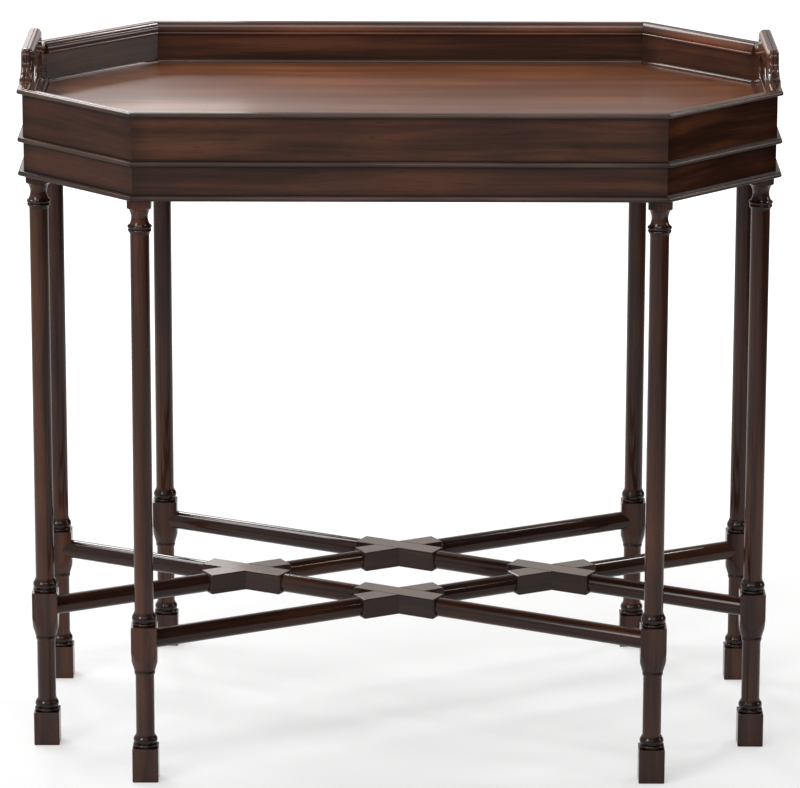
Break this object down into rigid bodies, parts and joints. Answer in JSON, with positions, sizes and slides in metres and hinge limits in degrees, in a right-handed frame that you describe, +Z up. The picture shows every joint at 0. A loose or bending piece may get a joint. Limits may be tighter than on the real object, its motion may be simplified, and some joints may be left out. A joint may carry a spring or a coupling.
{
  "type": "butlers tray table",
  "caption": "Octagonal wooden serving tray with a raised rim and arched end handles, resting on a stand of turned legs tied by crossing stretchers.",
  "frame": {"origin": "on the floor under the middle of the table", "axes": "+X along the long sides, the handles at its two ends; +Z up; the front faces -Y"},
  "size_m": [0.787, 0.509, 0.7398],
  "materials": {
    "frame_wood": "dark gloss lacquer",
    "floor_wood": "red-brown gloss lacquer",
    "inner_wood": "stained, unpolished",
    "screw_steel": "dull"
  },
  "bodies": {
    "stand": {"apron_low_bead_back": "frame_wood", "apron_low_bead_back_left": "frame_wood", "apron_low_bead_back_right": "frame_wood", "apron_low_bead_front": "frame_wood", "apron_low_bead_front_left": "frame_wood", "apron_low_bead_front_right": "frame_wood", "apron_low_bead_left": "frame_wood", "apron_low_bead_right": "frame_wood", "apron_rail_back": "frame_wood", "apron_rail_back_left": "frame_wood", "apron_rail_back_right": "frame_wood", "apron_rail_front": "frame_wood", "apron_rail_front_left": "frame_wood", "apron_rail_front_right": "frame_wood", "apron_rail_left": "frame_wood", "apron_rail_right": "frame_wood", "apron_top_bead_back": "frame_wood", "apron_top_bead_back_left": "frame_wood", "apron_top_bead_back_right": "frame_wood", "apron_top_bead_front": "frame_wood", "apron_top_bead_front_left": "frame_wood", "apron_top_bead_front_right": "frame_wood", "apron_top_bead_left": "frame_wood", "apron_top_bead_right": "frame_wood", "corner_block_screws": "screw_steel", "corner_blocks": "inner_wood", "leg_back_left": "frame_wood", "leg_back_right": "frame_wood", "leg_front_left": "frame_wood", "leg_front_right": "frame_wood", "leg_left_back": "frame_wood", "leg_left_front": "frame_wood", "leg_right_back": "frame_wood", "leg_right_front": "frame_wood", "stretcher_front_left_to_right_back": "frame_wood", "stretcher_front_right_to_left_back": "frame_wood", "stretcher_left_front_to_back_right": "frame_wood", "stretcher_right_front_to_back_left": "frame_wood"},
    "tray": {"batten_screws": "screw_steel", "floor_beads": "frame_wood", "rim_bead_back": "frame_wood", "rim_bead_back_left": "frame_wood", "rim_bead_back_right": "frame_wood", "rim_bead_front": "frame_wood", "rim_bead_front_left": "frame_wood", "rim_bead_front_right": "frame_wood", "rim_bead_left": "frame_wood", "rim_bead_right": "frame_wood", "rim_inner_mouldings": "frame_wood", "tray_batten_left": "inner_wood", "tray_batten_right": "inner_wood", "tray_bottom": "floor_wood", "tray_wall_back": "frame_wood", "tray_wall_back_left": "frame_wood", "tray_wall_back_right": "frame_wood", "tray_wall_front": "frame_wood", "tray_wall_front_left": "frame_wood", "tray_wall_front_right": "frame_wood", "tray_wall_left": "frame_wood", "tray_wall_right": "frame_wood"}
  },
  "joints": [
    {"name": "tray_lift", "type": "slide", "parent": "stand", "child": "tray", "axis": [0, 0, 1], "range_m": [0, 0.12]}
  ]
}
